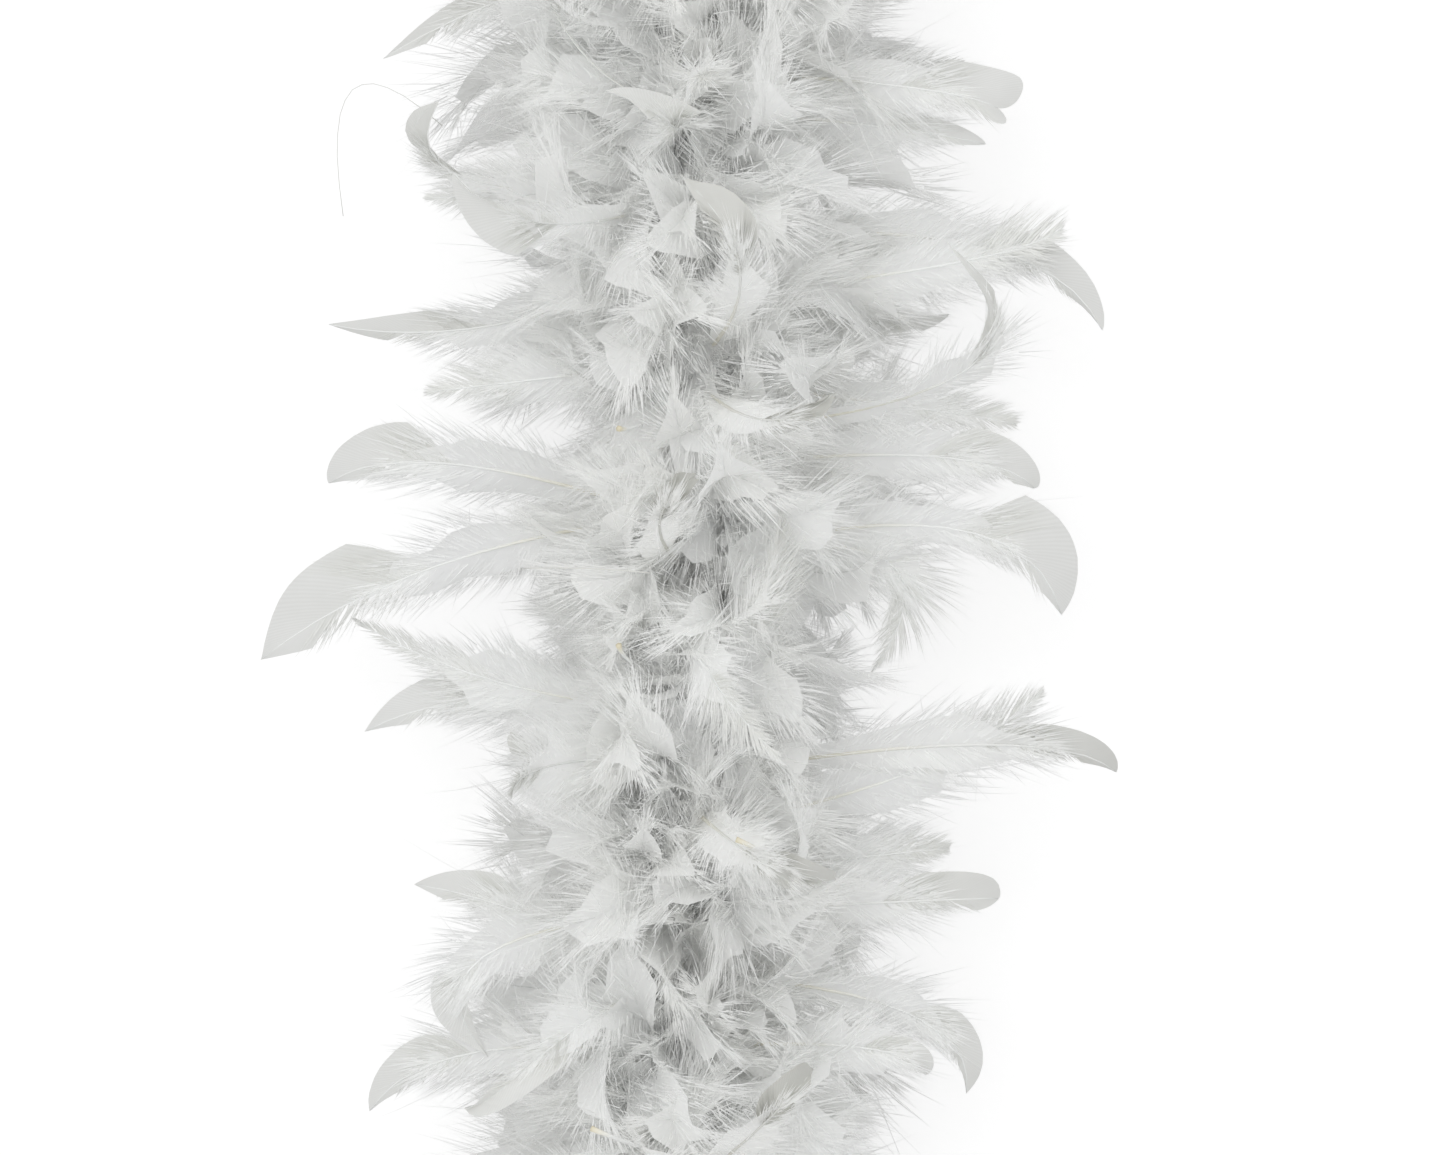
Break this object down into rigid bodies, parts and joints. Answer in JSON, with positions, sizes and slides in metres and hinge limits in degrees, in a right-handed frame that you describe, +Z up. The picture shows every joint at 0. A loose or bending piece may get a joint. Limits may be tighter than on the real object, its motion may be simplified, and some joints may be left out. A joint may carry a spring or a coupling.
{
  "type": "feather boa",
  "caption": "White feather boa: a limp string covered all round in down and long vaned feathers, laid in a straight run and a flat coil, with a knot and a hanging loop at each end.",
  "frame": {"origin": "middle of the laid-out boa's footprint, on the table that it lies on", "axes": "+Y along the straight run, from its knot towards the coil; +X from the run towards the coil's middle; +Z up from the table"},
  "size_m": [0.5147, 0.8535, 0.1323],
  "materials": {
    "string": "matt twisted cotton string",
    "thread": "fine spun sewing thread",
    "down": "soft bleached down with free barbs",
    "vane": "bleached feather vane with a soft sheen and fine barbs"
  },
  "bodies": {
    "root": {"core_string": "string", "binding_thread": "thread", "end_whipping_1": "thread", "end_whipping_2": "thread", "end_knot_1": "string", "end_knot_2": "string", "end_loop_1": "string", "end_loop_2": "string", "down_feathers_01": "down", "down_feathers_02": "down", "down_feathers_03": "down", "down_feathers_04": "down", "down_feathers_05": "down", "down_feathers_06": "down", "down_feathers_07": "down", "down_feathers_08": "down", "down_feathers_09": "down", "down_feathers_10": "down", "down_feathers_11": "down", "down_feathers_12": "down", "down_feathers_13": "down", "down_feathers_14": "down", "down_feathers_15": "down", "down_feathers_16": "down", "down_feathers_17": "down", "down_feathers_18": "down", "down_feathers_19": "down", "down_feathers_20": "down", "down_feathers_21": "down", "down_feathers_22": "down", "down_feathers_23": "down", "down_feathers_24": "down", "long_feathers_01": "vane", "long_feathers_02": "vane", "long_feathers_03": "vane", "long_feathers_04": "vane", "long_feathers_05": "vane", "long_feathers_06": "vane", "long_feathers_07": "vane", "long_feathers_08": "vane", "long_feathers_09": "vane", "long_feathers_10": "vane", "long_feathers_11": "vane", "long_feathers_12": "vane", "long_feathers_13": "vane", "long_feathers_14": "vane", "long_feathers_15": "vane", "long_feathers_16": "vane", "long_feathers_17": "vane", "long_feathers_18": "vane", "long_feathers_19": "vane", "long_feathers_20": "vane", "long_feathers_21": "vane", "long_feathers_22": "vane", "long_feathers_23": "vane", "long_feathers_24": "vane"}
  },
  "joints": []
}
